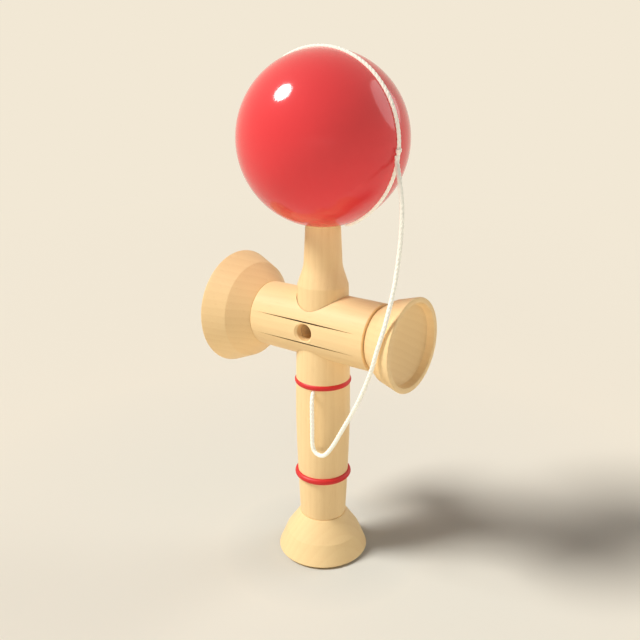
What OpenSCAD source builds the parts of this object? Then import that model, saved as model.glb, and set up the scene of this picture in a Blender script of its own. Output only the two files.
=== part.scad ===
// Cup and ball toy: a turned handle with a spike, a base cup under it, a crosspiece that
// carries a big and a small cup, and a ball that sits on the spike and hangs on a string.
// Millimetres, +Z up. X runs along the crosspiece, with the small cup at +X, and -Y is the
// front, with the string hole. The origin is the centre of the base rim, on the table.

/* [Ball] */
// Diameter of the ball
ball_d = 60; // [59:0.25:61]
// Height of the underside of the ball when it sits on the spike
ball_rest = 132; // [131:0.5:133]
// Diameter of the straight hole that takes the spike
spike_hole_d = 13.4; // [13.3:0.1:15]
// Bevel round the mouth of the spike hole
spike_hole_bevel = 0.6; // [0.2:0.1:1]

/* [Handle] */
// Height of the tip of the spike
tip_z = 160; // [156:0.5:164]
// Diameter of the spike at its rounded tip
spike_tip_d = 10; // [9:0.1:10.5]
// Diameter of the spike at its root
spike_root_d = 14.2; // [13.8:0.1:14.6]
// Height of the root of the spike
spike_root_z = 117.6; // [116:0.2:119]
// Height of the shoulder above the crosspiece
shoulder_z = 110.8; // [109:0.2:112]
// Diameter at the shoulder, the thin end of the taper
taper_top_d = 18.8; // [18.4:0.1:19.2]
// Diameter under the crosspiece, the thick end of the taper
taper_low_d = 20.1; // [19.8:0.1:20.4]
// Diameter of the grip at its fullest
grip_d = 20.8; // [20.6:0.1:21]
// Height of the fullest part of the grip
grip_z = 60; // [56:1:64]
// Diameter where the handle stands on the base cup
neck_d = 17.9; // [17.6:0.1:18.2]
// Diameter of the tenon glued into the base cup
foot_tenon_d = 12; // [10:0.5:13]
// Length of the tenon glued into the base cup
foot_tenon_l = 8; // [6:0.5:9]

/* [Base cup] */
// Diameter of the rim that stands on the table, before its edge is rounded
base_d = 35.2; // [34.2:0.2:36]
// Height of the base cup
base_h = 16.4; // [15.8:0.2:17]
// Diameter at the edge between its two slopes
base_edge_d = 29.2; // [28:0.2:30]
// Height of that edge
base_edge_z = 8.6; // [8:0.2:9.4]
// Diameter of its top, round the neck of the handle
base_top_d = 18.4; // [18.3:0.1:19]
// Diameter of the mouth of its hollow
base_mouth_d = 29; // [28:0.25:30]
// Depth of its hollow at the centre
base_depth = 5.5; // [5:0.1:6]

/* [Crosspiece] */
// Height of the axis of the crosspiece
cross_z = 95; // [94.5:0.25:95.5]
// Diameter of the barrel
barrel_d = 24.8; // [24.4:0.1:25.2]
// Length of the barrel between the cups
barrel_l = 50.5; // [50:0.25:51]
// Diameter of the string hole through the barrel and the handle
string_hole_d = 5.7; // [5:0.1:6.2]
// Bevel round the mouth of the string hole
string_hole_bevel = 0.5; // [0.2:0.1:0.6]
// How far behind the middle of the handle the string hole ends, in the back of the barrel
string_hole_end = 10.8; // [10.5:0.1:11]
// Angle of each scored line round from the front of the barrel
score_angle = 19; // [18:0.5:24]
// Length of a scored line
score_l = 41; // [36:0.5:44]
// Depth of a scored line at its middle
score_depth = 0.7; // [0.4:0.1:1]
// Width of a scored line
score_w = 0.4; // [0.3:0.05:0.6]

/* [Big cup] */
// Diameter of the rim, before its edge is rounded
big_d = 45; // [44.2:0.2:45.8]
// Height of the cup from the barrel to the rim
big_h = 16.2; // [15.8:0.2:16.8]
// Diameter at the edge between its two slopes
big_edge_d = 37.4; // [36.8:0.2:38]
// Distance of that edge from the barrel
big_edge_h = 7.1; // [6.7:0.1:7.5]
// Diameter of the mouth of its hollow
big_mouth_d = 40; // [39:0.25:41]
// Depth of its hollow at the centre
big_depth = 9.5; // [9:0.1:10]

/* [Small cup] */
// Diameter of the rim, before its edge is rounded
small_d = 34.2; // [33.6:0.1:34.4]
// Height of the cup from the barrel to the rim
small_h = 13.3; // [13:0.1:13.6]
// Diameter at the edge between its two slopes
small_edge_d = 29.8; // [29.4:0.1:30]
// Distance of that edge from the barrel
small_edge_h = 5.6; // [5.4:0.1:6]
// Diameter of its neck, inside the end face of the barrel
small_neck_d = 22.4; // [22:0.1:23]
// Diameter of the mouth of its hollow
small_mouth_d = 30; // [29.5:0.1:30.4]
// Depth of its hollow at the centre
small_depth = 5.5; // [5:0.1:6]

/* [Red rings] */
// Thickness of a ring
ring_t = 2.2; // [2:0.1:2.4]
// Outer diameter of the upper ring on the handle
upper_ring_d = 21.5; // [21.3:0.1:21.8]
// Height of the upper ring
upper_ring_z = 73.4; // [73.4:0.1:74.5]
// Outer diameter of the lower ring on the handle
lower_ring_d = 22; // [21.6:0.1:22.2]
// Height of the lower ring
lower_ring_z = 34.2; // [32:0.2:36]

/* [String] */
// Diameter of the string
string_d = 1.5; // [1.2:0.1:1.6]
// Diameter of the hole that the string passes through in the handle
string_way_d = 1.8; // [1.7:0.1:1.9]
// Steps along the loop round the ball
loop_steps = 48; // [40:1:56]

/* [Hidden] */
$fn = 96;
wood = [0.95, 0.77, 0.5];
red = [0.83, 0.1, 0.12];
ivory = [0.97, 0.94, 0.86];

// Places and sizes that follow from the ones above
ball_r = ball_d / 2;
ball_z = ball_rest + ball_r;
barrel_r = barrel_d / 2;
taper_z = cross_z - barrel_r;
taper_slope = (taper_low_d - taper_top_d) / 2 / (shoulder_z - taper_z);
tip_gap = 0.1;
cup_tenon_d = 14;
cup_tenon_l = 8.8;
tenon_slack = 0.2;

// Lip of a cup: wall to the floor, slope of the wall, and ledge round the dish
cup_wall = 2.8;
base_wall = 2;
wall_slope = 0.6;
ledge = 0.9;

// The string leaves the handle under the upper ring and is knotted at the back
way_z = 71.5;
way_angle = 15;
way_r = 9;
end_knot_d = 4.6;
end_knot_l = 3.6;

// The loop lies just off the ball, leans to the front, most at the top, passes behind the spike
// and is drawn in to its knot
loop_r = ball_r + string_d / 2 + 0.16;
loop_gap_angle = 2;
loop_lean = -0.043;
loop_top_lean = -0.114;
spike_pass = 0.335;
spike_pass_w = 16;
knot_angle = 93.5;
knot_pull = -0.02;
knot_pull_w = 7;
loop_knot_d = 3.3;
loop_knot_l = 3.2;

// Unit vector along v
function unit(v) = v / norm(v);

// Sum of a list of numbers
function total(v) = v * [for (x = v) 1];

// Points on the arc of radius r that rounds corner b of an outline a, b, c
function arc(a, b, c, r) =
    let (u = unit(a - b), v = unit(c - b), half = acos(u * v) / 2)
    let (o = b + unit(u + v) * r / sin(half), turn = 180 - 2 * half)
    let (p = b + u * r / tan(half) - o, q = b + v * r / tan(half) - o)
    [for (i = [0 : 4]) o + (sin(turn * (1 - i / 4)) * p + sin(turn * i / 4) * q) / sin(turn)];

// Outline from corners given as [radius, height, rounding]
function outline(c) =
    let (n = len(c), p = [for (k = c) [k[0], k[1]]])
    [for (i = [0 : n - 1]) each
        c[i][2] == 0 ? [p[i]] : arc(p[(i + n - 1) % n], p[i], p[(i + 1) % n], c[i][2])];

// Radius of the grip at height z: fullest at grip_z, drawn in towards both ends
function grip_r(z) =
    z < grip_z
    ? grip_d / 2 - (grip_d - neck_d) / 2 * pow((grip_z - z) / (grip_z - base_h), 1.5)
    : grip_d / 2 - (grip_d - taper_low_d) / 2 * pow((z - grip_z) / (taper_z - grip_z), 1.5);

// Point of the loop at angle a from the top of the ball down its +X side
function loop_point(a) =
    let (lean = loop_lean + loop_top_lean * pow(max(0, cos(a)), 2))
    let (behind = spike_pass * exp(-pow((a - 180) / spike_pass_w, 2)))
    let (near = min(abs(a - knot_angle), abs(a - knot_angle - 360)))
    let (drawn = knot_pull * exp(-pow(near / knot_pull_w, 2)))
    [0, 0, ball_z] + loop_r * unit([sin(a), lean + behind + drawn, cos(a)]);

loop_sweep = 360 - 2 * loop_gap_angle;
loop_path = [for (i = [0 : loop_steps])
    loop_point(knot_angle + loop_gap_angle + loop_sweep * i / loop_steps)];
loop_knot_at = loop_point(knot_angle) + [1, -0.4, 0];

// Smooth curve through the points of a route, with n steps between each two
function smooth(p, n) = [
    for (i = [0 : len(p) - 2])
        let (b = p[i], c = p[i + 1])
        let (a = i > 0 ? p[i - 1] : 2 * b - c, d = i < len(p) - 2 ? p[i + 2] : 2 * c - b)
        for (k = [0 : n - 1])
            let (t = k / n)
            b + ((c - a) * t + (2 * a - 5 * b + 4 * c - d) * t * t
                + (3 * b - a - 3 * c + d) * t * t * t) / 2,
    p[len(p) - 1]
];

// The free string, from the knot on the ball, past the small cup, to the hole in the handle
string_route = [
    loop_knot_at + [-0.1, -0.7, -loop_knot_l / 2 - 0.08],
    loop_knot_at + [0.3, -1.1, -loop_knot_l / 2 - 2.7],
    [33.8, -4.6, 150],
    [36, -6.6, 142],
    [37.1, -9, 131],
    [36.9, -11.5, 118],
    [36, -15, 106],
    [34.5, -17, 97.5],
    [31.5, -16.5, 88],
    [26, -15.5, 75.5],
    [19, -14.2, 63],
    [14.4, -13.5, 55],
    [11, -13.2, 50.3],
    [8.5, -13, 48.8],
    [6, -13, 49.4],
    [4.7, -13, 52.2],
    [4.6, -13, 60],
    [4.5, -13, 66.9],
    [4, -12.2, 70],
    [2.8, -10.1, 71.4],
    [way_r * sin(way_angle), -way_r * cos(way_angle), way_z]
];
free_path = smooth(string_route, 2);

// Direction of a path at its point i
function along(path, i) =
    unit(path[min(i + 1, len(path) - 1)] - path[max(i - 1, 0)]);

// What is left of v across direction t, as a unit vector
function across(v, t) = unit(v - (v * t) * t);

// A normal at each point of a path, carried along it without twist
function normals(path) = [
    for (i = 0, u = across([0.3, 1, 0.1], along(path, 0));
        i < len(path);
        i = i + 1, u = across(u, along(path, min(i, len(path) - 1)))) u
];

// Length of a path
function path_length(path) = total([for (i = [1 : len(path) - 1]) norm(path[i] - path[i - 1])]);

// Least gap between stretches of a string that lie more than three points apart on its path
function least_gap(path) = min([
    for (i = [0 : len(path) - 5], j = [i + 4 : len(path) - 1]) norm(path[i] - path[j])
]) - string_d;

echo(str("free string: length ", path_length(free_path), ", least gap ", least_gap(free_path)));
echo(str("loop: length ", path_length(loop_path), ", least gap ", least_gap(loop_path)));

// A string: one closed tube along a path, with eight sides
module string_tube(path) {
    sides = 8;
    n = len(path);
    side = normals(path);
    points = [
        for (i = [0 : n - 1], k = [0 : sides - 1])
            let (u = side[i], v = cross(along(path, i), u), a = 360 * k / sides)
            path[i] + string_d / 2 * (cos(a) * u + sin(a) * v)
    ];
    skin = [
        for (i = [0 : n - 2], k = [0 : sides - 1])
            let (a = i * sides + k, b = i * sides + (k + 1) % sides)
            each [[a, a + sides, b], [b, a + sides, b + sides]]
    ];
    last = (n - 1) * sides;
    ends = [for (k = [1 : sides - 2]) each [[0, k, k + 1], [last, last + k + 1, last + k]]];
    polyhedron(points, concat(skin, ends));
}

// A tight knot about its own axis, from z = 0, with a swelling for each turn of the string
module knot(d, l, turns) {
    steps = 8 * turns;
    side = [for (i = [0 : steps])
        [d / 2 * (0.72 + 0.28 * abs(sin(180 * turns * i / steps))), l * i / steps]];
    rotate_extrude()
        polygon(concat([[0, 0]], side, [[0, l]]));
}

// String hole, drilled from the front through the handle and a little into the back of the barrel
module string_hole() {
    translate([0, string_hole_end, cross_z])
        rotate([90, 0, 0])
            cylinder(h = string_hole_end + barrel_r + 1, d = string_hole_d);
}

// Ring about the handle, and the groove that it sits in
module ring(d, z) {
    translate([0, 0, z])
        rotate_extrude()
            translate([(d - ring_t) / 2, 0])
                circle(d = ring_t);
}

// Round dish sunk into a floor at z = 0
module dish(r, depth) {
    dish_r = (r * r + depth * depth) / (2 * depth);
    intersection() {
        translate([0, 0, dish_r - depth])
            sphere(r = dish_r);
        translate([0, 0, -depth - 1])
            cylinder(h = depth + 1.3, r = r + 0.3);
    }
}

// Cup of the crosspiece, turned about +X from the end face of the barrel at x = 0
module side_cup(neck_d, edge_d, edge_h, rim_d, h, mouth_d, depth) {
    floor_r = mouth_d / 2 - wall_slope;
    rotate([0, 90, 0])
        difference() {
            rotate_extrude()
                polygon(outline([
                    [0, -cup_tenon_l, 0],
                    [cup_tenon_d / 2, -cup_tenon_l, 0.8],
                    [cup_tenon_d / 2, 0, 0],
                    [neck_d / 2, 0, 0.3],
                    [edge_d / 2, edge_h, 1.2],
                    [rim_d / 2, h, 0.4],
                    [mouth_d / 2, h, 0.4],
                    [floor_r, h - cup_wall, 0.4],
                    [0, h - cup_wall, 0]
                ]));
            translate([0, 0, h - cup_wall])
                dish(floor_r - ledge, depth - cup_wall);
        }
}

module handle() {
    grip_steps = 14;
    grip = [for (i = [1 : grip_steps - 1])
        let (z = base_h + (taper_z - base_h) * i / grip_steps) [grip_r(z), z, 0]];
    foot = [
        [0, base_h - foot_tenon_l, 0],
        [foot_tenon_d / 2, base_h - foot_tenon_l, 0.8],
        [foot_tenon_d / 2, base_h, 0],
        [neck_d / 2, base_h, 0.3]
    ];
    spike = [
        [taper_low_d / 2, taper_z, 0],
        [taper_top_d / 2, shoulder_z, 1.5],
        [spike_root_d / 2, spike_root_z, 12],
        [spike_tip_d / 2, tip_z, 3.5],
        [0, tip_z, 0]
    ];
    color(wood)
        difference() {
            rotate_extrude()
                polygon(outline(concat(foot, grip, spike)));
            ring(upper_ring_d, upper_ring_z);
            ring(lower_ring_d, lower_ring_z);
            string_hole();
            translate([0, 0, way_z])
                rotate([90, 0, way_angle])
                    cylinder(h = grip_d + 4, d = string_way_d, center = true);
        }
}

module base_cup() {
    floor_r = base_mouth_d / 2 - wall_slope;
    color(wood)
        difference() {
            rotate_extrude()
                polygon(outline([
                    [0, base_wall, 0],
                    [floor_r, base_wall, 0.4],
                    [base_mouth_d / 2, 0, 0.4],
                    [base_d / 2, 0, 0.4],
                    [base_edge_d / 2, base_edge_z, 1.5],
                    [base_top_d / 2, base_h, 0.3],
                    [0, base_h, 0]
                ]));
            translate([0, 0, base_wall])
                mirror([0, 0, 1])
                    dish(floor_r - ledge, base_depth - base_wall);
            translate([0, 0, base_h - foot_tenon_l - tenon_slack])
                cylinder(h = foot_tenon_l + 1, d = foot_tenon_d);
        }
}

// Barrel of the crosspiece, driven onto the taper of the handle, with two saw-scored lines
module barrel() {
    half = barrel_l / 2;
    saw_r = (score_l * score_l / 4 + score_depth * score_depth) / (2 * score_depth);
    mouth_y = sqrt(barrel_r * barrel_r - string_hole_d * string_hole_d / 4) - string_hole_bevel;
    color(wood)
        difference() {
            translate([0, 0, cross_z])
                rotate([0, 90, 0])
                    rotate_extrude()
                        polygon(outline([
                            [0, -half, 0],
                            [barrel_r, -half, 0.3],
                            [barrel_r, half, 0.3],
                            [0, half, 0]
                        ]));
            translate([0, 0, taper_z - 1])
                cylinder(h = shoulder_z - taper_z + 1,
                    r1 = taper_low_d / 2 + taper_slope, r2 = taper_top_d / 2);
            string_hole();
            translate([0, -mouth_y, cross_z])
                rotate([90, 0, 0])
                    cylinder(h = 2, d1 = string_hole_d, d2 = string_hole_d + 4);
            for (end = [-1, 1])
                translate([end * half, 0, cross_z])
                    rotate([0, 90, 0])
                        cylinder(h = 2 * (cup_tenon_l + tenon_slack), d = cup_tenon_d, center = true);
            for (turn = [-score_angle, score_angle])
                translate([0, 0, cross_z])
                    rotate([turn, 0, 0])
                        translate([0, -barrel_r + score_depth - saw_r, 0])
                            cylinder(h = score_w, r = saw_r, center = true);
        }
}

module big_cup() {
    color(wood)
        translate([-barrel_l / 2, 0, cross_z])
            mirror([1, 0, 0])
                side_cup(barrel_d, big_edge_d, big_edge_h, big_d, big_h, big_mouth_d, big_depth);
}

module small_cup() {
    color(wood)
        translate([barrel_l / 2, 0, cross_z])
            side_cup(small_neck_d, small_edge_d, small_edge_h, small_d, small_h,
                small_mouth_d, small_depth);
}

module upper_ring() {
    color(red)
        ring(upper_ring_d, upper_ring_z);
}

module lower_ring() {
    color(red)
        ring(lower_ring_d, lower_ring_z);
}

module ball() {
    mouth_r = spike_hole_d / 2 + spike_hole_bevel;
    mouth_z = ball_z - sqrt(ball_r * ball_r - mouth_r * mouth_r);
    color(red)
        difference() {
            translate([0, 0, ball_z])
                sphere(d = ball_d);
            translate([0, 0, ball_rest - 1])
                cylinder(h = tip_z + tip_gap - ball_rest + 1, d = spike_hole_d);
            translate([0, 0, mouth_z - 1])
                cylinder(h = 1 + spike_hole_bevel, r1 = mouth_r + 1, r2 = spike_hole_d / 2);
        }
}

module string_loop() {
    color(ivory)
        string_tube(loop_path);
}

module loop_knot() {
    color(ivory)
        translate(loop_knot_at - [0, 0, loop_knot_l / 2])
            knot(loop_knot_d, loop_knot_l, 2);
}

module string_free() {
    color(ivory)
        string_tube(free_path);
}

// The end of the string in its hole, and the knot that holds it at the back of the handle
module end_knot() {
    back = upper_ring_d / 2 + 0.1;
    color(ivory)
        translate([0, 0, way_z])
            rotate([90, 0, way_angle]) {
                translate([0, 0, -back - 1])
                    cylinder(h = back + 1 + way_r, d = string_d);
                translate([0, 0, -back - end_knot_l])
                    knot(end_knot_d, end_knot_l, 2);
            }
}

handle();
base_cup();
barrel();
big_cup();
small_cup();
upper_ring();
lower_ring();
ball();
string_loop();
loop_knot();
string_free();
end_knot();
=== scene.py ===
import math

import bpy
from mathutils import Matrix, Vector


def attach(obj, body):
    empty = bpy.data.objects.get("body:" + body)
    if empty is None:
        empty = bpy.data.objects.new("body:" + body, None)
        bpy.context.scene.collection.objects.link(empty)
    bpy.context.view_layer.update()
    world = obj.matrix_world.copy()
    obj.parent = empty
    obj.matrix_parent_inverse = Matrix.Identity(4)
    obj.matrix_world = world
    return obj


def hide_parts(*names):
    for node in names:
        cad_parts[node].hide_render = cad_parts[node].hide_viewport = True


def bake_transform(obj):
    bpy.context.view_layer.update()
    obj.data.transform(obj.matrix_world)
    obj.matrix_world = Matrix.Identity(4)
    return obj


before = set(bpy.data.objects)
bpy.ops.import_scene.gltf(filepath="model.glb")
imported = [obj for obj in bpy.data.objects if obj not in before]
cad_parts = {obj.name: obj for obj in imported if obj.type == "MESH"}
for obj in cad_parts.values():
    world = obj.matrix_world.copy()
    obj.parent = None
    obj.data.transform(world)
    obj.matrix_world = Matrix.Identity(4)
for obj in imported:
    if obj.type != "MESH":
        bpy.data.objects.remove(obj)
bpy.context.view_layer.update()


# Camera: in front of the toy and a little to the right, about as high as the ball, looking down
# at the crosspiece. A normal lens, with the toy a touch right of the middle of the frame.
camera_data = bpy.data.cameras.new("camera")
camera_data.sensor_width = 36
camera_data.lens = 41.34
camera_data.shift_x = -0.0048
camera = bpy.data.objects.new("camera", camera_data)
camera.location = (0.15386, -0.20809, 0.1828)
camera.rotation_euler = (math.radians(71.61), 0, math.radians(36.48))
bpy.context.collection.objects.link(camera)
bpy.context.scene.camera = camera


# Handle: one long turned stick of pale close-grained hardwood. A foot tenon, a swelling grip, a
# taper for the crosspiece, a shoulder and a spike, under a thin satin varnish. It is drilled
# through at the crosspiece and once more, finely, for the end of the string.
def soft_corners(corners, steps=6):
    """Outline of a turned piece from corners (radius, height, rounding), each rounded to an arc."""
    outline = []
    for i, (radius, height, rounding) in enumerate(corners):
        corner = Vector((radius, height))
        if not rounding:
            outline.append(corner)
            continue
        before = (Vector(corners[i - 1][:2]) - corner).normalized()
        after = (Vector(corners[i + 1][:2]) - corner).normalized()
        half = before.angle(after) / 2
        middle = corner + (before + after).normalized() * rounding / math.sin(half)
        first = corner + before * rounding / math.tan(half) - middle
        last = corner + after * rounding / math.tan(half) - middle
        turn = math.pi - 2 * half
        for k in range(steps + 1):
            share = k / steps
            bow = first * math.sin(turn * (1 - share)) + last * math.sin(turn * share)
            outline.append(middle + bow / math.sin(turn))
    return outline


def turn_on_lathe(name, outline, across, along, centre, longest=0.0012, steps=160):
    """Draws an outline of (radius, height) points edge by edge and spins it once round its axis."""
    bpy.ops.object.select_all(action="DESELECT")
    bpy.ops.mesh.primitive_plane_add(size=0.002)
    piece = bpy.context.object
    piece.name = piece.data.name = name
    bpy.ops.object.mode_set(mode="EDIT")
    bpy.ops.mesh.select_all(action="SELECT")
    bpy.ops.mesh.merge(type="CENTER")
    across, along, centre = Vector(across), Vector(along), Vector(centre)
    here = centre + across * outline[0][0] + along * outline[0][1]
    bpy.ops.transform.translate(value=here)
    for radius, height in outline[1:]:
        corner = centre + across * radius + along * height
        cuts = max(1, math.ceil((corner - here).length / longest))
        for _ in range(cuts):
            step = {"value": (corner - here) / cuts}
            bpy.ops.mesh.extrude_vertices_move(TRANSFORM_OT_translate=step)
        here = corner
    bpy.ops.mesh.select_all(action="SELECT")
    bpy.ops.mesh.spin(steps=steps, angle=2 * math.pi, center=centre, axis=along)
    bpy.ops.mesh.select_all(action="SELECT")
    bpy.ops.mesh.remove_doubles(threshold=1e-6)
    bpy.ops.mesh.normals_make_consistent(inside=False)
    bpy.ops.object.mode_set(mode="OBJECT")
    return piece


def take_up(piece):
    """Selects one piece alone and makes it the active one."""
    bpy.ops.object.select_all(action="DESELECT")
    bpy.context.view_layer.objects.active = piece
    piece.select_set(True)


def cut_away(piece, cutter):
    """Cuts a closed shape out of a piece, leaving the cutter's own material on the cut, if any."""
    take_up(piece)
    cut = piece.modifiers.new("cut", "BOOLEAN")
    cut.object = cutter
    cut.operation = "DIFFERENCE"
    cut.solver = "EXACT"
    cut.material_mode = "TRANSFER" if cutter.data.materials else "INDEX"
    bpy.ops.object.modifier_apply(modifier=cut.name)
    bpy.data.objects.remove(cutter, do_unlink=True)


def drill(piece, radius, start, end, bored):
    """Drills a straight hole from one point to another, and lines it with darker bored wood, partly
    painted shade.
    """
    start, end = Vector(start), Vector(end)
    bpy.ops.object.select_all(action="DESELECT")
    bpy.ops.mesh.primitive_cylinder_add(
        vertices=96, radius=radius, depth=(end - start).length, location=(start + end) / 2,
        rotation=(end - start).to_track_quat("Z", "Y").to_euler())
    bit = bpy.context.object
    bit.data.materials.append(bored)
    cut_away(piece, bit)


def smooth_over(piece, degrees=32):
    """Smooth shading, apart from edges sharper than this."""
    take_up(piece)
    bpy.ops.object.shade_smooth_by_angle(angle=math.radians(degrees))


def new_finish(name):
    """An empty material and its node tree."""
    finish = bpy.data.materials.new(name)
    finish.use_nodes = True
    finish.node_tree.nodes.clear()
    return finish, finish.node_tree


def add(tree, kind, inputs=(), **settings):
    """A node in a tree, with its settings, and with its inputs linked or set by name."""
    made = tree.nodes.new("ShaderNode" + kind)
    for key, value in settings.items():
        setattr(made, key, value)
    for key, value in dict(inputs).items():
        if isinstance(value, bpy.types.NodeSocket):
            tree.links.new(value, made.inputs[key])
        else:
            made.inputs[key].default_value = value
    return made


def finish_with(tree, inputs):
    """Ends a material in one Principled surface."""
    surface = add(tree, "BsdfPrincipled", inputs)
    add(tree, "OutputMaterial", {"Surface": surface.outputs[0]})


def noise(tree, place, stretch, detail=2.0, roughness=0.5):
    """Noise over a place that is stretched along each axis."""
    spread = add(tree, "Mapping", {"Vector": place, "Scale": stretch})
    return add(tree, "TexNoise", {"Vector": spread.outputs[0], "Scale": 1.0, "Detail": detail,
                                  "Roughness": roughness})


def reach(tree, value, low, high, to_low=0.0, to_high=1.0):
    """A value from one range to another, held at both ends."""
    return add(tree, "MapRange", {"Value": value, "From Min": low, "From Max": high,
                                  "To Min": to_low, "To Max": to_high}).outputs["Result"]


def sum_of(tree, *parts):
    """The sum of values, each times its weight."""
    total = 0.0
    for value, weight in parts:
        total = add(tree, "Math", {0: value, 1: weight, 2: total},
                    operation="MULTIPLY_ADD").outputs[0]
    return total


def mix(tree, share, first, second):
    """A colour between two colours."""
    return add(tree, "MixRGB", {"Fac": share, "Color1": first, "Color2": second}).outputs[0]


# Grain of pale hardwood, in millimetres with the fibres along Z: growth rings about a pith beside
# the blank, fine fibres, short dark flecks, and the faint marks of the turning tool.
grain = bpy.data.node_groups.new("turned_wood_grain", "ShaderNodeTree")
for label, kind in (("Place", "Vector"), ("Edge", "Float"), ("Light Wood", "Color"),
                    ("Dark Wood", "Color"), ("Ring Spacing", "Float")):
    grain.interface.new_socket(name=label, in_out="INPUT", socket_type="NodeSocket" + kind)
for label, kind in (("Colour", "Color"), ("Roughness", "Float"), ("Relief", "Float")):
    grain.interface.new_socket(name=label, in_out="OUTPUT", socket_type="NodeSocket" + kind)
blank = grain.nodes.new("NodeGroupInput").outputs
place = blank["Place"]
drift = noise(grain, place, (0.03, 0.03, 0.007), detail=1.5)
drift = add(grain, "VectorMath", {0: drift.outputs["Color"], 1: (9.0, 9.0, 0.0)},
            operation="MULTIPLY")
pith = add(grain, "VectorMath", {0: place, 1: drift.outputs[0]}, operation="ADD")
pith = add(grain, "Mapping", {"Vector": pith.outputs[0], "Location": (34.0, 13.0, 0.0),
                              "Scale": (1.0, 1.0, 0.0)})
from_pith = add(grain, "VectorMath", {0: pith.outputs[0]}, operation="LENGTH").outputs["Value"]
year = add(grain, "Math", {0: from_pith, 1: blank["Ring Spacing"]}, operation="DIVIDE")
year = add(grain, "Math", {0: year.outputs[0]}, operation="FRACT")
late = add(grain, "ValToRGB", {"Fac": year.outputs[0]})
late.color_ramp.elements[0].position = 0.15
late.color_ramp.elements[0].color = (0, 0, 0, 1)
late.color_ramp.elements[1].position = 0.86
late.color_ramp.elements[1].color = (1, 1, 1, 1)
late.color_ramp.elements.new(1.0).color = (0.1, 0.1, 0.1, 1)
late = late.outputs["Color"]
fibre = noise(grain, place, (3.2, 3.2, 0.055), detail=4.0, roughness=0.62).outputs["Fac"]
fleck = noise(grain, place, (1.7, 1.7, 0.24), detail=1.0, roughness=0.4).outputs["Fac"]
fleck = reach(grain, fleck, 0.62, 0.71)
broad = noise(grain, place, (0.05, 0.05, 0.014), detail=2.0).outputs["Fac"]
from_axis = add(grain, "VectorMath", {0: place, 1: (1.0, 1.0, 0.0)}, operation="MULTIPLY")
from_axis = add(grain, "VectorMath", {0: from_axis.outputs[0]}, operation="LENGTH")
up_axis = add(grain, "SeparateXYZ", {"Vector": place})
tool = add(grain, "CombineXYZ", {"X": from_axis.outputs["Value"], "Y": up_axis.outputs["Z"],
                                 "Z": 0.0})
tool = noise(grain, tool.outputs[0], (3.0, 3.0, 1.0), detail=2.0).outputs["Fac"]
# From pointiness: sharp edges lighter and rougher where the varnish is worn, and hollows and
# creases darker with painted shade.
worn = reach(grain, blank["Edge"], 0.52, 0.6)
painted_crease_shade = reach(grain, blank["Edge"], 0.48, 0.42)
depth = sum_of(grain, (late, 0.14), (fibre, 0.27), (fleck, 0.12), (broad, 0.4), (painted_crease_shade, 0.5),
               (worn, -0.18))
shade = mix(grain, reach(grain, depth, 0.18, 0.93), blank["Light Wood"], blank["Dark Wood"])
gloss = sum_of(grain, (fibre, 0.7), (worn, 0.4), (fleck, 0.2))
gloss = reach(grain, gloss, 0.2, 0.9, 0.46, 0.64)
relief = sum_of(grain, (fibre, 0.5), (fleck, -0.35), (tool, 0.45), (late, 0.15))
done = grain.nodes.new("NodeGroupOutput")
for label, value in (("Colour", shade), ("Roughness", gloss), ("Relief", relief)):
    grain.links.new(value, done.inputs[label])

ring_spacing = 2.6
light_wood, dark_wood = (0.93, 0.672, 0.344, 1), (0.81, 0.54, 0.26, 1)


def varnished_wood(name, fibres_turn, blank_shift, light=light_wood, dark=dark_wood):
    """Pale wood under satin varnish: fibres_turn lays the fibres along the piece, and blank_shift
    takes each piece from its own place in the board."""
    finish, tree = new_finish(name)
    where = add(tree, "TexCoord").outputs["Object"]
    where = add(tree, "Mapping", {"Vector": where, "Location": blank_shift,
                                  "Rotation": fibres_turn, "Scale": (1000.0, 1000.0, 1000.0)})
    edge = add(tree, "NewGeometry")
    wood = tree.nodes.new("ShaderNodeGroup")
    wood.node_tree = grain
    tree.links.new(where.outputs[0], wood.inputs["Place"])
    tree.links.new(edge.outputs["Pointiness"], wood.inputs["Edge"])
    wood.inputs["Light Wood"].default_value = light
    wood.inputs["Dark Wood"].default_value = dark
    wood.inputs["Ring Spacing"].default_value = ring_spacing
    bump = add(tree, "Bump", {"Strength": 0.35, "Distance": 0.00004,
                              "Height": wood.outputs["Relief"]})
    finish_with(tree, {
        "Base Color": wood.outputs["Colour"], "Roughness": wood.outputs["Roughness"],
        "Normal": bump.outputs[0], "Coat Weight": 0.06, "Coat Roughness": 0.45,
        "Specular IOR Level": 0.2})
    return finish


along_z = {"across": (1, 0, 0), "along": (0, 0, 1), "centre": (0, 0, 0)}
foot_tenon_r, foot_tenon_z, base_h = 0.006, 0.0084, 0.0164
neck_r, grip_r, grip_z = 0.00895, 0.0104, 0.06
cross_z, barrel_r = 0.095, 0.0124
taper_low_r, taper_z = 0.01005, cross_z - barrel_r
taper_top_r, shoulder_z = 0.0094, 0.1108
spike_root_r, spike_root_z = 0.0071, 0.1176
spike_tip_r, spike_tip_z = 0.005, 0.16


def grip_radius(z):
    """Half the thickness of the grip: fullest at grip_z and drawn in towards both ends."""
    if z < grip_z:
        return grip_r - (grip_r - neck_r) * ((grip_z - z) / (grip_z - base_h)) ** 1.5
    return grip_r - (grip_r - taper_low_r) * ((z - grip_z) / (taper_z - grip_z)) ** 1.5


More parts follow.
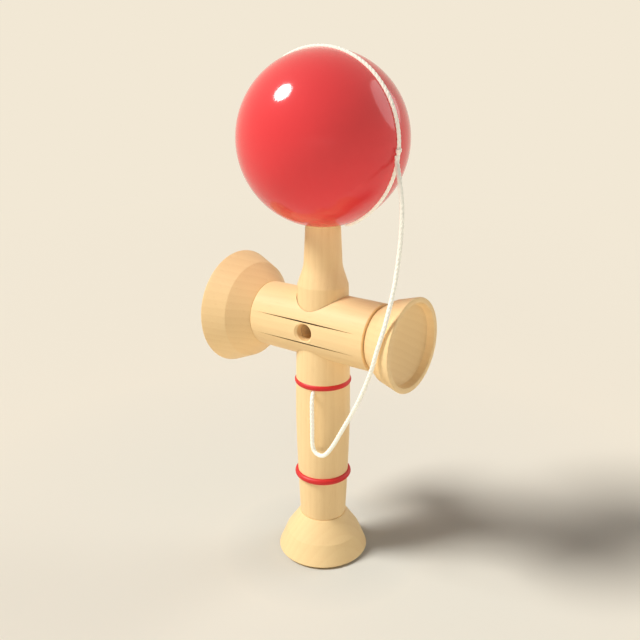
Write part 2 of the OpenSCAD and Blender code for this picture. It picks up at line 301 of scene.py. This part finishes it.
grip = [base_h + (taper_z - base_h) * k / 44 for k in range(1, 44)]
handle = turn_on_lathe("turned_handle", soft_corners(
    [(0, foot_tenon_z, 0), (foot_tenon_r, foot_tenon_z, 0.0008), (foot_tenon_r, base_h, 0),
     (neck_r, base_h, 0.0003)]
    + [(grip_radius(z), z, 0) for z in grip]
    + [(taper_low_r, taper_z, 0), (taper_top_r, shoulder_z, 0.0015),
       (spike_root_r, spike_root_z, 0.012), (spike_tip_r, spike_tip_z, 0.0035),
       (0, spike_tip_z, 0)]), **along_z)
handle.data.materials.append(varnished_wood("handle_wood", (0, 0, 0), (0, 0, 0)))
# Wood for the walls of the holes: darker than the handle's, partly bare end grain and partly
# painted shade inside the holes.
shaded_bored_wood = varnished_wood("shaded_bored_wood", (0, 0, 0), (3, 2, 3300), light=(0.84, 0.57, 0.27, 1),
                            dark=(0.7, 0.43, 0.19, 1))
string_hole_r = 0.00285
string_hole = {"start": (0, 0.0108, cross_z), "end": (0, -0.0135, cross_z)}
drill(handle, string_hole_r, bored=shaded_bored_wood, **string_hole)
string_way_r, string_way_half = 0.0009, 0.0125
string_way_at = Vector((0, 0, 0.0715))
string_way = Vector((math.sin(math.radians(15)), -math.cos(math.radians(15)), 0))
drill(handle, string_way_r, string_way_at - string_way * string_way_half,
      string_way_at + string_way * string_way_half, shaded_bored_wood)
smooth_over(handle)
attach(handle, "ken")
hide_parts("handle")


# Red rings: two round elastic rings, stretched over the handle into shallow grooves. Smooth red
# rubber with a satin skin, the same red as the ball.
def elastic_red():
    """Satin red rubber, faintly uneven."""
    finish, tree = new_finish("elastic_red")
    where = add(tree, "TexCoord").outputs["Object"]
    cloud = noise(tree, where, (260.0, 260.0, 260.0), detail=3.0).outputs["Fac"]
    speck = noise(tree, where, (2600.0, 2600.0, 2600.0), detail=2.0).outputs["Fac"]
    bump = add(tree, "Bump", {"Strength": 0.25, "Distance": 0.00003, "Height": speck})
    finish_with(tree, {
        "Base Color": mix(tree, cloud, (0.6, 0.016, 0.016, 1), (0.67, 0.022, 0.021, 1)),
        "Roughness": reach(tree, speck, 0.3, 0.7, 0.44, 0.56), "Normal": bump.outputs[0]})
    return finish


ring_finish = elastic_red()
ring_half = 0.00125
bead = [2 * math.pi * k / 24 for k in range(25)]
for name, outer, height in (("upper_ring", 0.01075, 0.0734), ("lower_ring", 0.011, 0.0342)):
    middle = outer - ring_half
    ring = turn_on_lathe(name + "_elastic", [
        (middle + ring_half * math.cos(a), height + ring_half * math.sin(a)) for a in bead],
        **along_z)
    smooth_over(ring, 60)
    ring.data.materials.append(ring_finish)
    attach(ring, "ken")
    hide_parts(name)


# Base cup: a turned foot of two slopes with a dish underneath, glued onto the foot tenon of the
# handle. The toy stands on its rim, and the outer edge of the rim is cut back from the table.
def dish(radius, depth, steps=24):
    """Round floor of a cup as (radius, sink) points, from its edge to its deepest point."""
    bowl = (radius * radius + depth * depth) / (2 * depth)
    spread = math.asin(radius / bowl)
    arc = [spread * (1 - k / steps) for k in range(steps + 1)]
    return [(bowl * math.sin(a), bowl * math.cos(a) - bowl + depth) for a in arc]


base_r, base_edge_r, base_edge_z, base_top_r = 0.0178, 0.0146, 0.0086, 0.0092
base_mouth_r, base_wall, base_wall_slope, base_ledge = 0.0145, 0.002, 0.0006, 0.0009
foot_lift, foot_inset = 0.0009, 0.002
socket_floor_z = 0.0082
base_floor_r, base_dish = base_mouth_r - base_wall_slope, 0.0035
base_floor = dish(base_floor_r - base_ledge, base_dish)
base_cup = turn_on_lathe("turned_base_cup", soft_corners(
    [(r, base_wall + sink, 0) for r, sink in reversed(base_floor)]
    + [(base_floor_r, base_wall, 0.0004), (base_mouth_r, 0, 0.0004),
       (base_r - foot_inset, 0, 0), (base_r - foot_inset, foot_lift, 0),
       (base_r, foot_lift, 0.0002), (base_edge_r, base_edge_z, 0.0002),
       (base_top_r, base_h, 0.0003), (foot_tenon_r, base_h, 0),
       (foot_tenon_r, socket_floor_z, 0), (0, socket_floor_z, 0)]), **along_z)
smooth_over(base_cup)
# The foot's wood is a lighter copy of the handle's: painted light that brightens the foot.
base_cup.data.materials.append(varnished_wood(
    "base_cup_wood", (0, 0, 0.9), (17, 9, 400), light=(0.955, 0.7, 0.356, 1),
    dark=(0.86, 0.58, 0.278, 1)))
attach(base_cup, "ken")
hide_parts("base_cup")


# Barrel: the turned cross cylinder, bored on a taper and driven down onto the handle, with a fine
# seam round the shoulder. A string hole with a flared, bevelled mouth in front, two saw-scored
# lines beside it darkened with painted shade, and a bore in each end.
along_x = {"across": (0, 0, 1), "along": (1, 0, 0), "centre": (0, 0, cross_z)}
barrel_half, cup_bore_r, cup_bore_end = 0.02525, 0.007, 0.01625
barrel = turn_on_lathe("turned_barrel", soft_corners(
    [(0, -cup_bore_end, 0), (cup_bore_r, -cup_bore_end, 0), (cup_bore_r, -barrel_half, 0),
     (barrel_r, -barrel_half, 0.0003), (barrel_r, barrel_half, 0.0003),
     (cup_bore_r, barrel_half, 0), (cup_bore_r, cup_bore_end, 0), (0, cup_bore_end, 0)]),
    longest=0.0009, steps=192, **along_x)
taper_slope = (taper_low_r - taper_top_r) / (shoulder_z - taper_z)
tight, seam = 0.00002, 0.00032
reamer_half = 0.015
bpy.ops.object.select_all(action="DESELECT")
bpy.ops.mesh.primitive_cone_add(
    vertices=160, depth=2 * reamer_half, location=(0, 0, cross_z),
    radius1=taper_low_r + tight - taper_slope * (cross_z - reamer_half - taper_z),
    radius2=taper_low_r + seam - taper_slope * (cross_z + reamer_half - taper_z))
cut_away(barrel, bpy.context.object)
barrel.data.materials.append(
    varnished_wood("barrel_wood", (0, math.radians(-90), 0), (6, -11, 900)))
drill(barrel, string_hole_r, bored=shaded_bored_wood, **string_hole)


def open_mouth(start_r, sink, spread, length, bored=None):
    """Widens the mouth of the string hole with a cone that starts this far under its edge."""
    start_y = math.sqrt(barrel_r ** 2 - start_r ** 2) - sink
    bpy.ops.object.select_all(action="DESELECT")
    bpy.ops.mesh.primitive_cone_add(
        vertices=96, depth=length, radius1=start_r, radius2=start_r + spread,
        location=(0, -start_y - length / 2, cross_z), rotation=(math.radians(90), 0, 0))
    cone = bpy.context.object
    if bored:
        cone.data.materials.append(bored)
    cut_away(barrel, cone)


bevel_r, bevel = string_hole_r + 0.0004, 0.002
open_mouth(string_hole_r, sink=0.0025, spread=0.0008, length=0.004, bored=shaded_bored_wood)
open_mouth(bevel_r, sink=0.0004, spread=bevel, length=bevel)


def painted_kerf_shade():
    """Painted shade in a saw cut: nearly black in the middle of the cut and paler towards its ends.
    """
    finish, tree = new_finish("painted_kerf_shade")
    where = add(tree, "TexCoord").outputs["Object"]
    kerf_mottle = noise(tree, where, (900.0, 4000.0, 4000.0), detail=3.0).outputs["Fac"]
    from_middle = add(tree, "SeparateXYZ", {"Vector": where}).outputs["X"]
    from_middle = add(tree, "Math", {0: from_middle}, operation="ABSOLUTE").outputs[0]
    pale = sum_of(tree, (reach(tree, from_middle, 0.003, 0.019), 0.75), (kerf_mottle, 0.2))
    bump = add(tree, "Bump", {"Strength": 0.3, "Distance": 0.00005, "Height": kerf_mottle})
    # Base colour: painted shade, nearly black where the cut is deepest and paler towards its ends.
    finish_with(tree, {
        "Base Color": mix(tree, pale, (0.045, 0.026, 0.009, 1), (0.62, 0.38, 0.15, 1)),
        "Roughness": reach(tree, kerf_mottle, 0.3, 0.7, 0.7, 0.9), "Specular IOR Level": 0.1,
        "Normal": bump.outputs[0]})
    return finish


kerf_shade = painted_kerf_shade()
score_turn, score_depth, score_half = 19, 0.0008, 0.0225
saw_r = (score_half ** 2 + score_depth ** 2) / (2 * score_depth)
saw_half, saw_body_r = 0.001, saw_r - 4 * score_depth
for turn in (-score_turn, score_turn):
    angle = math.radians(turn)
    reach_out = barrel_r - score_depth + saw_r
    saw = turn_on_lathe(
        "saw", [(0, -saw_half), (saw_body_r, -saw_half), (saw_r, 0), (saw_body_r, saw_half),
                (0, saw_half)],
        across=(1, 0, 0), along=(0, -math.sin(angle), math.cos(angle)), longest=1, steps=1440,
        centre=(0, -reach_out * math.cos(angle), cross_z - reach_out * math.sin(angle)))
    saw.data.materials.append(kerf_shade)
    cut_away(barrel, saw)
smooth_over(barrel)
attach(barrel, "ken")
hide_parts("barrel")


# Cups: a big cup at one end of the barrel and a small one at the other, each turned with its own
# tenon and glued into the barrel. A short lip wall leads down to a round dish for the ball.
cup_tenon_l, neck_step = 0.0088, 0.0008
lip_wall, lip_slope, lip_ledge = 0.0028, 0.0006, 0.0009


def turned_cup(name, side, neck, joint, edge, edge_at, rim, tall, mouth, deep, blank_shift):
    """A cup at one end of the barrel: neck, edge, rim and mouth are radii, edge_at and tall are
    heights over the barrel, and joint is the gap that shows between the two."""
    floor_r, floor_at = mouth - lip_slope, tall - lip_wall
    outline = soft_corners(
        [(0, -cup_tenon_l, 0), (cup_bore_r, -cup_tenon_l, 0.0008), (cup_bore_r, 0, 0),
         (neck - neck_step, 0, 0), (neck - neck_step, joint, 0), (neck, joint, 0.0001),
         (edge, edge_at, 0.0012), (rim, tall, 0.0004), (mouth, tall, 0.0004),
         (floor_r, floor_at, 0.0004)]
        + [(r, floor_at - sink, 0) for r, sink in dish(floor_r - lip_ledge, deep - lip_wall)])
    cup = turn_on_lathe("turned_" + name, [(r, side * (barrel_half + z)) for r, z in outline],
                        **along_x)
    smooth_over(cup)
    cup.data.materials.append(
        varnished_wood(name + "_wood", (0, math.radians(-90), 0), blank_shift))
    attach(cup, "ken")
    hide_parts(name)


turned_cup("big_cup", side=-1, neck=barrel_r, joint=0.00005, edge=0.0187, edge_at=0.0071,
           rim=0.0225, tall=0.0162, mouth=0.02, deep=0.0095, blank_shift=(-8, 21, 1500))
turned_cup("small_cup", side=1, neck=0.0112, joint=0.00022, edge=0.0149, edge_at=0.0056,
           rim=0.0171, tall=0.0133, mouth=0.015, deep=0.0055, blank_shift=(12, 5, 2100))


# Ball: a turned wooden ball under thick glossy red lacquer, with a straight hole for the spike.
# The hole was drilled after lacquering, so its wall is bare wood.
ball_r, ball_z = 0.03, 0.162
hole_r, hole_top, hole_bevel = 0.0067, 0.1601, 0.0006
mouth_r = hole_r + hole_bevel
mouth_z = ball_z - math.sqrt(ball_r ** 2 - mouth_r ** 2)
below = math.asin(mouth_r / ball_r)
curve = [below + (math.pi - below) * k / 150 for k in range(151)]
ball = turn_on_lathe(
    "lacquered_ball",
    [(0, hole_top), (hole_r, hole_top), (hole_r, mouth_z + hole_bevel)]
    + [(ball_r * math.sin(a), ball_z - ball_r * math.cos(a)) for a in curve],
    steps=224, **along_z)
smooth_over(ball)


def red_lacquer():
    """Thick red lacquer: an even red under a clear coat with a trace of orange peel and dust."""
    finish, tree = new_finish("red_lacquer")
    where = add(tree, "TexCoord").outputs["Object"]
    cloud = noise(tree, where, (38.0, 38.0, 38.0), detail=3.0).outputs["Fac"]
    peel = noise(tree, where, (330.0, 330.0, 330.0), detail=2.0).outputs["Fac"]
    dust = noise(tree, where, (2400.0, 2400.0, 2400.0), detail=1.0).outputs["Fac"]
    bump = add(tree, "Bump", {"Strength": 0.05, "Distance": 0.0001, "Height": peel})
    finish_with(tree, {
        "Base Color": mix(tree, cloud, (0.74, 0.028, 0.036, 1), (0.83, 0.036, 0.044, 1)),
        "Roughness": reach(tree, dust, 0.3, 0.8, 0.5, 0.7), "Specular IOR Level": 0.06,
        "Coat Weight": 1.0, "Coat Roughness": 0.11,
        "Normal": bump.outputs[0], "Coat Normal": bump.outputs[0]})
    return finish


ball.data.materials.append(red_lacquer())
ball.data.materials.append(varnished_wood("ball_core_wood", (0, 0, 0.4), (4, 30, 2700)))
for face in ball.data.polygons:
    middle = face.center
    if math.hypot(middle.x, middle.y) < mouth_r and mouth_z < middle.z < hole_top + 0.0001:
        face.material_index = 1
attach(ball, "ball")
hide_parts("ball")


# String: one length of ivory cotton twisted from three strands. Its end goes once round the ball,
# pressed close to it and behind the spike, and is knotted to its own standing part beside the
# ball.
string_d = 0.0015
string_lay, steps_per_lay = 0.0048, 14


def carried_frames(path):
    """Direction and one normal at each point of a path, carried along it without twist."""
    frames = []
    normal = Vector((0.3, 1, 0.1))
    for i, point in enumerate(path):
        way = (path[min(i + 1, len(path) - 1)] - path[max(i - 1, 0)]).normalized()
        normal = (normal - way * normal.dot(way)).normalized()
        frames.append((point, way, normal))
    return frames


def even_steps(path, step):
    """The same path with points at even distances."""
    far = [0.0]
    for a, b in zip(path, path[1:]):
        far.append(far[-1] + (b - a).length)
    count = max(2, round(far[-1] / step))
    evened, k = [], 0
    for i in range(count + 1):
        goal = far[-1] * i / count
        while k < len(path) - 2 and far[k + 1] < goal:
            k += 1
        share = (goal - far[k]) / (far[k + 1] - far[k])
        evened.append(path[k].lerp(path[k + 1], share))
    return evened


def twist_string(name, path, thickness=string_d):
    """Three strands twisted about a path, as one mesh."""
    strand_r, off = thickness * 0.385, thickness * 0.155
    step = string_lay / steps_per_lay
    line = carried_frames(even_steps(path, step))
    cord = bpy.data.curves.new(name, "CURVE")
    cord.dimensions = "3D"
    cord.bevel_depth = strand_r
    cord.bevel_resolution = 2
    cord.use_fill_caps = True
    for strand in range(3):
        spline = cord.splines.new("POLY")
        spline.points.add(len(line) - 1)
        for i, (point, way, normal) in enumerate(line):
            a = 2 * math.pi * (strand / 3 + i * step / string_lay)
            at = point + off * (math.cos(a) * normal + math.sin(a) * way.cross(normal))
            spline.points[i].co = (*at, 1)
    piece = bpy.data.objects.new(name, cord)
    bpy.context.collection.objects.link(piece)
    take_up(piece)
    bpy.ops.object.convert(target="MESH")
    bpy.ops.object.shade_smooth()
    return bpy.context.object


def ivory_cotton():
    """Soft unbleached cotton: ivory, a little soiled in places, with a short fuzz, and a faint
    painted glow of its own colour that brightens it as if lit.
    """
    finish, tree = new_finish("ivory_cotton")
    where = add(tree, "TexCoord").outputs["Object"]
    fuzz = noise(tree, where, (5200.0, 5200.0, 5200.0), detail=3.0, roughness=0.7).outputs["Fac"]
    soil = noise(tree, where, (120.0, 120.0, 120.0), detail=2.0).outputs["Fac"]
    shade = mix(tree, sum_of(tree, (fuzz, 0.5), (soil, 0.5)),
                (0.96, 0.93, 0.8, 1), (0.9, 0.87, 0.735, 1))
    bump = add(tree, "Bump", {"Strength": 0.3, "Distance": 0.00004, "Height": fuzz})
    # Emission: a faint painted glow in the cotton's own colour, brightening it beyond the light it
    # gets.
    finish_with(tree, {
        "Base Color": shade, "Roughness": reach(tree, fuzz, 0.2, 0.8, 0.78, 0.95),
        "Normal": bump.outputs[0], "Sheen Weight": 0.2, "Sheen Roughness": 0.5,
        "Emission Color": shade, "Emission Strength": 0.12})
    return finish


cotton = ivory_cotton()
loop_r = ball_r + 0.0001
knot_angle, knot_gap = 93.5, 0.8


def loop_point(angle):
    """Point of the loop at an angle from the top of the ball down its small-cup side. The loop
    leans a little to the front, and bows out behind the spike under the ball."""
    a = math.radians(angle)
    lean = 0.06 * math.sin(a) - 0.0355 * math.cos(a) - 0.062
    behind = 0.32 * math.exp(-((angle - 180) / 16) ** 2)
    way = Vector((math.sin(a), lean + behind, math.cos(a)))
    return Vector((0, 0, ball_z)) + loop_r * way.normalized()


loop_sweep = 360 - 2 * knot_gap
loop_path = [loop_point(knot_angle + knot_gap + loop_sweep * k / 240) for k in range(241)]
loop = twist_string("string_round_ball", loop_path)
loop.data.materials.append(cotton)
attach(loop, "tether")
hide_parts("string_loop")

knot_at = loop_point(knot_angle) + Vector((0.0006, -0.0008, 0))
knot_coil_r, knot_drop, knot_slant = 0.0005, 0.001, 0.00035
coil = []
for k in range(49):
    a = math.pi + 4 * math.pi * k / 48
    coil.append(knot_at + Vector((
        knot_coil_r * math.cos(a), knot_coil_r * math.sin(a),
        0.0003 - knot_drop * k / 48 + knot_slant * math.sin(a + 0.6))))
loop_knot = twist_string("knot_beside_ball", coil, thickness=0.001)
loop_knot.data.materials.append(cotton)
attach(loop_knot, "tether")
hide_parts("loop_knot")


# Free string: hangs from the knot beside the ball, past the front of the small cup, down to a slack
# bend in front of the grip, and up into its small hole in the handle under the upper ring.
string_end = 0.009
knot_low = knot_at + Vector((0, 0, -0.0016))
route = [knot_low + Vector((-0.0001, -0.0007, -0.00008)),
         knot_low + Vector((0.0003, -0.0011, -0.0027))]
route += [Vector(p) / 1000 for p in (
    (33.8, -4.6, 150), (36, -6.6, 142), (37.1, -9, 131), (36.9, -11.5, 118), (36, -15, 106),
    (34.5, -17, 97.5), (31.5, -16.5, 88), (26, -15.5, 75.5), (19, -14.2, 63), (14.4, -13.5, 55),
    (11, -13.2, 50.3), (8.5, -13, 48.8), (6, -13, 49.4), (4.7, -13, 52.2), (4.6, -13, 60),
    (4.5, -13, 66.9), (4, -12.2, 70), (2.8, -10.1, 71.4))]
route.append(string_way_at + string_end * string_way)


def smooth_route(points, steps):
    """Smooth curve through given points."""
    line = []
    for i in range(len(points) - 1):
        b, c = points[i], points[i + 1]
        a = points[i - 1] if i else 2 * b - c
        d = points[i + 2] if i < len(points) - 2 else 2 * c - b
        for k in range(steps):
            t = k / steps
            line.append(b + ((c - a) * t + (2 * a - 5 * b + 4 * c - d) * t ** 2
                             + (3 * b - a - 3 * c + d) * t ** 3) / 2)
    return line + [points[-1]]


free_path = smooth_route(route, 16)
free_path.reverse()
free_string = twist_string("free_string", free_path)
free_string.data.materials.append(cotton)
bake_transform(free_string)
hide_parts("string_free")


# End of the string: the same cotton, straight through the small hole in the handle and stopped at
# the back by a plain overhand knot.
back_way = -string_way
tail_l, knot_out = 0.0205, 0.0125
tail = [string_way_at + string_way * (string_end - tail_l * k / 20) for k in range(21)]
tail_piece = twist_string("string_tail", tail)
up_way = Vector((0, 0, 1))
side_way = back_way.cross(up_way)
knot_middle = string_way_at + back_way * knot_out
overhand_r, overhand_depth = 0.00052, 0.0008
overhand = []
for k in range(97):
    t = 2 * math.pi * k / 96
    overhand.append(knot_middle
                    + side_way * overhand_r * (math.sin(t) + 2 * math.sin(2 * t))
                    + up_way * overhand_r * (math.cos(t) - 2 * math.cos(2 * t))
                    + back_way * overhand_depth * math.sin(3 * t))
end_knot = twist_string("string_end_knot", overhand)
take_up(end_knot)
tail_piece.select_set(True)
bpy.ops.object.join()
end_knot.data.materials.append(cotton)
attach(end_knot, "ken")
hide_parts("end_knot")


# Stage: a plain pale floor that runs out into a backdrop of the same warm white, with painted
# shade that makes it greyer and darker close to the foot of the toy.
def seen_or_mirrored(tree):
    """1 for rays from the camera and from glossy surfaces, and 0 for all others."""
    ray = add(tree, "LightPath").outputs
    return add(tree, "Math", {0: ray["Is Camera Ray"], 1: ray["Is Glossy Ray"]},
               operation="MAXIMUM").outputs[0]


backdrop = (0.888, 0.807, 0.665, 1)
bpy.ops.object.select_all(action="DESELECT")
bpy.ops.mesh.primitive_plane_add(size=12)
floor = bpy.context.object
floor.name = "floor"
paper, tree = new_finish("pale_paper")
where = add(tree, "TexCoord").outputs["Object"]
out_from_toy = add(tree, "VectorMath", {0: where}, operation="LENGTH").outputs["Value"]
far_share = add(tree, "MapRange", {"Value": out_from_toy, "From Min": 0.2, "From Max": 0.9},
                interpolation_type="SMOOTHSTEP").outputs["Result"]
far_off = add(tree, "Math", {0: far_share, 1: seen_or_mirrored(tree)}, operation="MULTIPLY")
# Painted shade: the floor turns greyer within 20 cm of the toy, and darker still within 4 cm of its
# foot.
shade = mix(tree, reach(tree, out_from_toy, 0.02, 0.2, 1.0, 0.0),
            (0.91, 0.825, 0.68, 1), (0.805, 0.767, 0.662, 1))
shade = mix(tree, reach(tree, out_from_toy, 0.017, 0.042, 1.0, 0.0),
            shade, (0.69, 0.675, 0.6, 1))
matt = add(tree, "BsdfDiffuse", {"Color": shade})
glow = add(tree, "Emission", {"Color": backdrop, "Strength": 1.0})
mixed = add(tree, "MixShader", {0: far_off.outputs[0], 1: matt.outputs[0], 2: glow.outputs[0]})
add(tree, "OutputMaterial", {"Surface": mixed.outputs[0]})
floor.data.materials.append(paper)


# Light: a round soft box high on the left, a low broad fill beside the camera, two weak boxes
# behind on the right, of which the lacquer mirrors only the round one, and an even room round
# about.
def soft_box(name, shape, size, toward, distance, watts, mirrored=True):
    """A soft box that stands this far off in one direction and faces the toy."""
    lamp = bpy.data.lights.new(name, "AREA")
    lamp.shape = shape
    lamp.size, lamp.size_y = size
    lamp.energy = watts
    box = bpy.data.objects.new(name, lamp)
    box.location = Vector((0, 0, 0.1)) + Vector(toward).normalized() * distance
    box.rotation_euler = (-Vector(toward)).to_track_quat("-Z", "Y").to_euler()
    box.visible_glossy = mirrored
    bpy.context.collection.objects.link(box)


soft_box("key_light", "DISK", size=(3.3, 3.3), toward=(-0.478, -0.448, 0.756), distance=10.0,
         watts=1030.0)
soft_box("fill_light", "RECTANGLE", size=(2.4, 0.5), toward=(0.5, -0.85, 0.06), distance=3.2,
         watts=28.0, mirrored=False)
soft_box("side_light", "RECTANGLE", size=(1.6, 0.8), toward=(0.5, 0.85, 0.14), distance=2.5,
         watts=9.5, mirrored=False)
soft_box("back_light", "DISK", size=(1.6, 1.6), toward=(0.485, 0.747, 0.454), distance=2.2,
         watts=10.5)
room = bpy.data.worlds.new("room")
room.use_nodes = True
tree = room.node_tree
tree.nodes.clear()
light = add(tree, "Background", {"Color": (0.94, 0.97, 1.0, 1), "Strength": 0.068})
wall = add(tree, "Background", {"Color": backdrop, "Strength": 1.0})
mixed = add(tree, "MixShader", {0: seen_or_mirrored(tree), 1: light.outputs[0],
                                2: wall.outputs[0]})
add(tree, "OutputWorld", {"Surface": mixed.outputs[0]})
bpy.context.scene.world = room
bpy.context.scene.view_settings.view_transform = "Standard"
